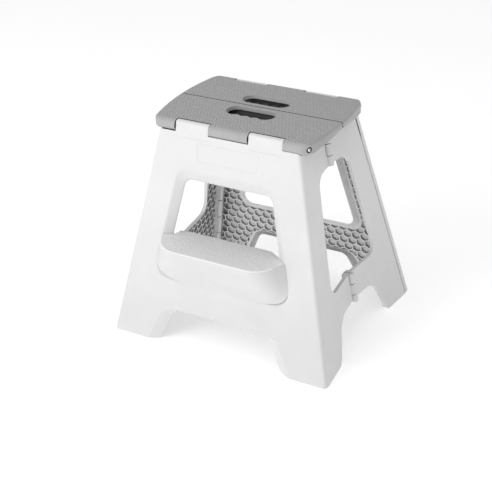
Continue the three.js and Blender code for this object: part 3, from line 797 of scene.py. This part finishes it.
def step_shell():
    shell = loft([step_ring(z, reach, wide, panel_face(z) + 0.6) for z, reach, wide in STEP])
    inside = [row for row in STEP if 125 < row[0] < 190]
    rings = [step_ring(z, reach - 3, wide - 3, panel_face(z) + 25) for z, reach, wide in inside]
    _, reach, wide = inside[-1]
    rings.append(step_ring(TREAD_TOP - 3.4, reach + 1.5, wide - 4, panel_face(190) + 25))
    return boolean(shell, loft(rings))


def tread_slab(outline, top):
    edge = ((0.4, -12), (0, -11.6), (0, -1.2), (0.35, -0.4), (1.2, 0))
    return loft([lifted(grown(outline, -d), top + z) for d, z in edge])


def tread_ear(side, face):
    """The tread's corner beside the panel, that closes it against the step's front."""
    corners = [
        (side * 97, face - 1.5, 0), (side * 115, face - 1.5, 0),
        (side * 111.5, face + 2.4, 1.2), (side * 97, face + 11.4, 0),
    ]
    return tread_slab(rounded(corners[::side], 4), TREAD_TOP - 0.02)


def lower_step():
    face = panel_face(TREAD_TOP)
    tongue = [
        (-98, face - 1.5, 0), (98, face - 1.5, 0), (97.4, TREAD_BACK - 12, 4),
        (78, TREAD_BACK, 9), (-78, TREAD_BACK, 9), (-97.4, TREAD_BACK - 12, 4),
    ]
    under = [
        (-95, face - 30, 0), (95, face - 30, 0), (93, TREAD_BACK - 13, 4),
        (76, TREAD_BACK - 3, 7), (-76, TREAD_BACK - 3, 7), (-93, TREAD_BACK - 13, 4),
    ]
    tread = tread_slab(rounded(tongue, 6), TREAD_TOP - 0.01)
    boolean(tread, prism(rounded(under, 4), TREAD_TOP - 30, TREAD_TOP - 3))
    pieces = [step_shell(), tread] + [tread_ear(side, face) for side in (-1, 1)]
    for x in (-72, -36, 0, 36, 72):
        pieces.append(box(x - 1.1, x + 1.1, -160, TREAD_BACK - 1.5, TREAD_TOP - 11.5, TREAD_TOP - 2.5))
    return joined(pieces)


# ------------------------------------------------------------------ materials


def grey(value, blue=0.0):
    return (value, value, value + blue)


def nodes_of(name):
    """A new material with its node tree, its shader and its object coordinates."""
    material = bpy.data.materials.new(name)
    material.use_nodes = True
    tree = material.node_tree
    where = tree.nodes.new("ShaderNodeTexCoord").outputs["Object"]
    return material, tree, tree.nodes["Principled BSDF"], where


def add(tree, kind, **values):
    node = tree.nodes.new(kind)
    for key, value in values.items():
        setattr(node, key, value)
    return node


def math_node(tree, operation, *values):
    node = add(tree, "ShaderNodeMath", operation=operation)
    for socket, value in zip(node.inputs, values):
        if isinstance(value, (int, float)):
            socket.default_value = value
        else:
            tree.links.new(value, socket)
    return node.outputs[0]


def scaled(tree, value, factor):
    return math_node(tree, "MULTIPLY", value, factor)


def noise(tree, where, scale, detail=2.0, rough=0.5):
    node = add(tree, "ShaderNodeTexNoise")
    node.inputs["Scale"].default_value = scale
    node.inputs["Detail"].default_value = detail
    node.inputs["Roughness"].default_value = rough
    tree.links.new(where, node.inputs["Vector"])
    return node.outputs["Fac"]


def mapped(tree, value, from_min, from_max, to_min, to_max, **kind):
    node = add(tree, "ShaderNodeMapRange", **kind)
    limits = {"From Min": from_min, "From Max": from_max, "To Min": to_min, "To Max": to_max}
    for name, limit in limits.items():
        node.inputs[name].default_value = limit
    tree.links.new(value, node.inputs["Value"])
    return node.outputs[0]


def tinted(tree, shader, factor, low, high):
    ramp = add(tree, "ShaderNodeValToRGB")
    for stop, position, colour in zip(ramp.color_ramp.elements, (0.3, 0.7), (low, high)):
        stop.position = position
        stop.color = (*colour, 1)
    tree.links.new(factor, ramp.inputs["Fac"])
    tree.links.new(ramp.outputs["Color"], shader.inputs["Base Color"])


def roughened(tree, shader, factor, low, high):
    tree.links.new(mapped(tree, factor, 0.3, 0.7, low, high), shader.inputs["Roughness"])


def bumped(tree, shader, height, distance, strength=1.0):
    bump = add(tree, "ShaderNodeBump")
    bump.inputs["Strength"].default_value = strength
    bump.inputs["Distance"].default_value = distance
    tree.links.new(height, bump.inputs["Height"])
    tree.links.new(bump.outputs["Normal"], shader.inputs["Normal"])


def dimmed(tree, shader, where, low, high, under, over):
    """Scales a colour by one amount under a height and another over a second height, to paint shade
    into it.
    """
    parts = add(tree, "ShaderNodeSeparateXYZ")
    tree.links.new(where, parts.inputs[0])
    amount = mapped(tree, parts.outputs[2], low, high, under, over, interpolation_type="SMOOTHSTEP")
    scale = add(tree, "ShaderNodeVectorMath", operation="SCALE")
    socket = shader.inputs["Base Color"]
    tree.links.new(socket.links[0].from_socket, scale.inputs[0])
    tree.links.new(amount, scale.inputs["Scale"])
    tree.links.new(scale.outputs[0], socket)


def moulded(name, low, high, rough, heights=None):
    """Satin moulded plastic: a fine spark-eroded grain, faint flow clouds and uneven sheen."""
    material, tree, shader, where = nodes_of(name)
    tinted(tree, shader, noise(tree, where, 14.0, 4.0, 0.6), low, high)
    # heights paint shade into the colour by height.
    if heights:
        dimmed(tree, shader, where, *heights)
    roughened(tree, shader, noise(tree, where, 60.0, 3.0), rough - 0.05, rough + 0.06)
    grain = noise(tree, where, 1500.0, 2.0, 0.6)
    slow = scaled(tree, noise(tree, where, 45.0, 1.0), 0.5)
    bumped(tree, shader, math_node(tree, "ADD", grain, slow), 0.00003)
    shader.inputs["Specular IOR Level"].default_value = 0.4
    return material


def pebbled(name, low, high, rough):
    """The tread: small crowded pips all over."""
    material, tree, shader, where = nodes_of(name)
    cells = add(tree, "ShaderNodeTexVoronoi", feature="SMOOTH_F1")
    cells.inputs["Scale"].default_value = 420.0
    tree.links.new(where, cells.inputs["Vector"])
    pips = math_node(tree, "SUBTRACT", 1.0, cells.outputs["Distance"])
    fine = scaled(tree, noise(tree, where, 900.0, 2.0), 0.5)
    bumped(tree, shader, math_node(tree, "ADD", pips, fine), 0.0008, 0.9)
    tinted(tree, shader, noise(tree, where, 380.0, 4.0, 0.75), low, high)
    roughened(tree, shader, noise(tree, where, 90.0, 2.0), rough - 0.05, rough + 0.08)
    return material


def chequered(name, low, high, rough, pitch=0.0062):
    """The seat's top: slanting rows, turned the other way in every second block of two rows."""
    material, tree, shader, where = nodes_of(name)
    parts = add(tree, "ShaderNodeSeparateXYZ")
    tree.links.new(where, parts.inputs[0])
    x, y = parts.outputs[0], parts.outputs[1]
    rows, blocks = [], []
    for way in ("ADD", "SUBTRACT"):
        slant = math_node(tree, way, x, y)
        row = math_node(tree, "SINE", scaled(tree, slant, math.pi / pitch))
        rows.append(math_node(tree, "ABSOLUTE", row))
        blocks.append(math_node(tree, "SINE", scaled(tree, slant, math.pi / (2 * pitch))))
    choice = scaled(tree, math_node(tree, "MULTIPLY", *blocks), 3.0)
    weave = add(tree, "ShaderNodeMix", clamp_factor=True)
    for socket, value in zip((0, 2, 3), (math_node(tree, "ADD", choice, 0.5), *rows)):
        tree.links.new(value, weave.inputs[socket])
    dashes = math_node(tree, "POWER", weave.outputs[0], 0.8)
    fine = scaled(tree, noise(tree, where, 1300.0, 2.0), 0.18)
    bumped(tree, shader, math_node(tree, "ADD", dashes, fine), 0.0008, 0.75)
    # The raised dashes are tinted lighter as well: painted light on the relief; the rest of the tone
    # varies at random.
    worn = scaled(tree, noise(tree, where, 120.0, 4.0), 0.3)
    tinted(tree, shader, math_node(tree, "ADD", scaled(tree, dashes, 0.5), worn), low, high)
    roughened(tree, shader, noise(tree, where, 50.0, 2.0), rough - 0.05, rough + 0.07)
    shader.inputs["Specular IOR Level"].default_value = 0.35
    return material


def drawn_steel(name):
    material, tree, shader, where = nodes_of(name)
    tinted(tree, shader, noise(tree, where, 300.0, 3.0), grey(0.74, 0.01), grey(0.88, 0.01))
    roughened(tree, shader, noise(tree, where, 700.0, 3.0), 0.24, 0.4)
    bumped(tree, shader, noise(tree, where, 2400.0, 2.0), 0.00003)
    shader.inputs["Metallic"].default_value = 1.0
    return material


def plain_floor():
    material, tree, shader, where = nodes_of("pale_floor")
    tinted(tree, shader, noise(tree, where, 3.0, 2.0), grey(0.93), grey(0.95))
    shader.inputs["Roughness"].default_value = 0.9
    shader.inputs["Specular IOR Level"].default_value = 0.1
    shader.inputs["Emission Color"].default_value = (1, 1, 1, 1)
    shader.inputs["Emission Strength"].default_value = 0.42
    return material


# Two heights and how bright a colour is below and above them: shade painted into the colour. The feet
# are painted a little darker against the floor's glow, and what lies just under the seat is painted
# dark as its shade.
FEET_PAINTED_SHADE = (0.0, 0.26, 0.9, 1.0)
UNDER_SEAT_PAINTED_SHADE = (0.312, 0.34, 1.0, 0.1)
WHITE = moulded("white_moulded", grey(0.80), grey(0.84), 0.42, FEET_PAINTED_SHADE)
# The back of the arch border: the same white, painted darker as painted shade.
BACK = moulded("white_border_back_painted_shade", grey(0.48), grey(0.54), 0.5)
# The step: the panels' white, painted darker as painted shade.
STEP_WHITE = moulded("white_step_painted_shade", grey(0.72), grey(0.76), 0.42)
# The tread's front rim: a whiter, glossier band as a painted highlight.
EDGE_WHITE = moulded("white_edge_painted_highlight", grey(0.92), grey(0.96), 0.3)
# The inside faces: a little brighter than the outer white as painted light, with painted shade fading
# them dark just under the seat.
INNER = moulded("white_inner_painted_light_and_shade", grey(0.84), grey(0.88), 0.5, UNDER_SEAT_PAINTED_SHADE)
# The pockets between the ribs and the rooms round the hinges: the same white, painted darker as painted
# shade.
DEEP = moulded("white_between_ribs_painted_shade", grey(0.30), grey(0.36), 0.55, UNDER_SEAT_PAINTED_SHADE)
# Near black for the seat's underside, slots, seam and cut rooms: painted shade.
SHADE = moulded("grey_painted_shade", grey(0.035), grey(0.05), 0.7)
TREAD = pebbled("white_pebbled", grey(0.72), grey(0.97), 0.6)
GREY = moulded("grey_moulded", grey(0.43, 0.002), grey(0.48, 0.002), 0.5)
GRIP = chequered("grey_chequered", grey(0.33, 0.002), grey(0.58, 0.002), 0.6)
STEEL = drawn_steel("drawn_steel")


# ------------------------------------------------------------------ pieces


def settle(piece, body, node, looks, pick=None):
    """Puts a finished piece into the row frame and ties it to its body and CAD node."""
    to_row = Matrix.Scale(0.001, 4) @ Matrix.Translation((0, MOVED_BACK, 0))
    mesh = piece.data
    mesh.transform(to_row)
    piece.name = mesh.name = "vis_" + node
    marks = [polygon.material_index for polygon in mesh.polygons]
    mesh.materials.clear()
    for look in looks:
        mesh.materials.append(look)
    for polygon, mark in zip(mesh.polygons, marks):
        polygon.material_index = pick(polygon, mark) if pick else 0
    mesh.shade_smooth()
    mesh.set_sharp_from_angle(angle=math.radians(34))
    weigh = piece.modifiers.new("even_normals", "WEIGHTED_NORMAL")
    weigh.keep_sharp = True
    weigh.weight = 80
    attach(piece, body)
    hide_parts(node)


def in_design(point):
    """A settled point in millimetres about the middle of the seat again."""
    return point * 1000 - Vector((0, MOVED_BACK, 0))


PANEL_LOOKS = [WHITE, DEEP, INNER, BACK]
STEP_LOOKS = [STEP_WHITE, TREAD, EDGE_WHITE]
SEAT_LOOKS = [GREY, GRIP, SHADE]


def facing_in(x, y):
    """Marked faces take their painted-shade looks, faces turned towards the middle the inner one,
    painted lighter and shaded under the seat.
    """
    inward = Vector((x, y, 0))

    def pick(polygon, mark):
        if mark:
            return 1 if mark == DEEP_MARK else 3
        return 2 if polygon.normal.dot(inward) > 0.6 else 0

    return pick


def on_step(polygon, mark):
    """The top is tread, the rim before it an edge with a painted highlight."""
    _, y, z = in_design(polygon.center)
    if polygon.normal.z > 0.9 and z > TREAD_TOP - 0.4:
        return 1
    on_rim = z > TREAD_TOP - 1.6 and y < panel_face(TREAD_TOP) - 12 and polygon.normal.y < 0
    return 2 if on_rim else 0


def on_seat(polygon, mark):
    """The top is grip, and what is cut away, under the skirt or in the middle seam takes the near-black
    painted shade.
    """
    _, y, z = in_design(polygon.center)
    y, normal = abs(y), polygon.normal
    hidden = normal.z < -0.5 and z < SEAT_Z + 8.5 and y < SEAT_Y - 12
    in_seam = y < 1.2 and abs(normal.y) > 0.7
    if mark or hidden or in_seam:
        return 2
    return 1 if normal.z > 0.93 and z > SEAT_Z + 9.2 and y < SEAT_Y + 3 else 0


front_panel = leg_panel([bead()])
rear_panel = moved(leg_panel([]), Y_FLIP)
settle(front_panel, "front_panel", "front_leg_panel", PANEL_LOOKS, facing_in(0, 1))
settle(rear_panel, "rear_panel", "rear_leg_panel", PANEL_LOOKS, facing_in(0, -1))
settle(lower_step(), "front_panel", "lower_step", STEP_LOOKS, on_step)

front_quarter = side_quarter(True, 0.3)
rear_quarter = moved(side_quarter(False, 1.7), Y_FLIP)
for end, quarter in (("front", front_quarter), ("rear", rear_quarter)):
    for side, piece, inward in (("left", copy(quarter, X_FLIP), 1), ("right", quarter, -1)):
        body = f"{side}_{end}"
        settle(piece, body, body + "_quarter", PANEL_LOOKS, facing_in(inward, 0))

FRONT_KNUCKLES = [(-118, -74), (74, 118)]
REAR_KNUCKLES = [(-73.4, -50), (50, 73.4)]
front_seat = seat_half(FRONT_KNUCKLES, REAR_KNUCKLES, 13, 3.6, FINGER_DEPTH)
rear_seat = moved(seat_half(REAR_KNUCKLES, FRONT_KNUCKLES, 19, 4.8), Y_FLIP)
for end, half in (("front", front_seat), ("rear", rear_seat)):
    settle(half, f"{end}_seat", f"{end}_seat_half", SEAT_LOOKS, on_seat)


def pin(body, node, start, end, radius=1.5):
    settle(rod(start, end, radius, 28, radius * 0.25), body, node, [STEEL])


def flipped(points, x, y):
    return [Vector((p.x * x, p.y * y, p.z)) for p in points]


corner_ends = [at_height(CORNER_AXIS, z) for z in (4, 364)]
upper_ends = [at_height(FOLD_AXIS, z) for z in (313, 365)]
lower_ends = [at_height(FOLD_AXIS, z) for z in (67, 117.5)]
for side, x in (("right", 1), ("left", -1)):
    pin("front_panel", f"front_{side}_corner_rod", *flipped(corner_ends, x, 1))
    pin("rear_panel", f"rear_{side}_corner_rod", *flipped(corner_ends, x, -1))
    pin(f"{side}_front", f"{side}_upper_fold_rod", *flipped(upper_ends, x, 1))
    pin(f"{side}_front", f"{side}_lower_fold_rod", *flipped(lower_ends, x, 1))

# The seat rods have domed heads, and the one that the photograph shows stands proud.
ROD_END = 139.4
for end, y, reach in (("front", 1, ROD_END + 2.5), ("rear", -1, ROD_END)):
    tips = flipped([seat_at(-ROD_END), seat_at(reach)], 1, y)
    bar = [rod(*tips, 2.3, 28, 0.5)]
    bar += [rod((tip.x * 0.97, tip.y, tip.z), tip, 3.1, 28, 1.6) for tip in tips]
    settle(joined(bar), f"{end}_panel", f"{end}_seat_rod", [STEEL])
pin("front_seat", "seat_centre_rod", (-117, 0, SEAT_Z), (117, 0, SEAT_Z), 1.3)


# ------------------------------------------------------------------ studio

bpy.ops.mesh.primitive_grid_add(x_subdivisions=8, y_subdivisions=8, size=24)
floor = bpy.context.object
floor.name = "floor"
floor.data.materials.append(plain_floor())

scene = bpy.context.scene
scene.view_settings.view_transform = "Standard"
world = bpy.data.worlds.new("studio")
scene.world = world
world.use_nodes = True
sky = world.node_tree.nodes["Background"]
sky.inputs["Color"].default_value = (1, 1, 1, 1)
sky.inputs["Strength"].default_value = 0.48


def bearing(azimuth, elevation):
    """The way towards a place seen at an azimuth, 0 in front, and an elevation, in degrees."""
    a, e = math.radians(azimuth), math.radians(elevation)
    return Vector((math.sin(a) * math.cos(e), -math.cos(a) * math.cos(e), math.sin(e)))


def panel_light(name, azimuth, elevation, distance, size, power):
    data = bpy.data.lights.new(name, "AREA")
    data.shape = "SQUARE"
    data.size = size
    data.energy = power
    lamp = bpy.data.objects.new(name, data)
    scene.collection.objects.link(lamp)
    way = bearing(azimuth, elevation)
    lamp.location = way * distance + Vector((0, 0, 0.2))
    lamp.rotation_euler = way.to_track_quat("Z", "Y").to_euler()


panel_light("key", -28, 30, 2.6, 1.6, 23)
panel_light("top", 10, 75, 2.4, 1.8, 8)


def photo_camera(azimuth, elevation, roll, distance, lens, aim):
    """The photograph's own view, in degrees, metres and millimetres of lens."""
    back = bearing(azimuth, elevation)
    right = Vector((0, 0, 1)).cross(back).normalized()
    turn = Matrix((right, back.cross(right), back)).transposed().to_4x4()
    data = bpy.data.cameras.new("camera")
    data.sensor_width = 36
    data.lens = lens
    data.clip_end = 100
    camera = bpy.data.objects.new("camera", data)
    scene.collection.objects.link(camera)
    rolled = turn @ Matrix.Rotation(math.radians(roll), 4, "Z")
    camera.matrix_world = Matrix.Translation(aim + back * distance) @ rolled
    scene.camera = camera


aim = Vector((-0.03439, MOVED_BACK * 0.001, 0.12177))
photo_camera(30.12, 29.06, -2.07, 2.09208, 86.6437, aim)
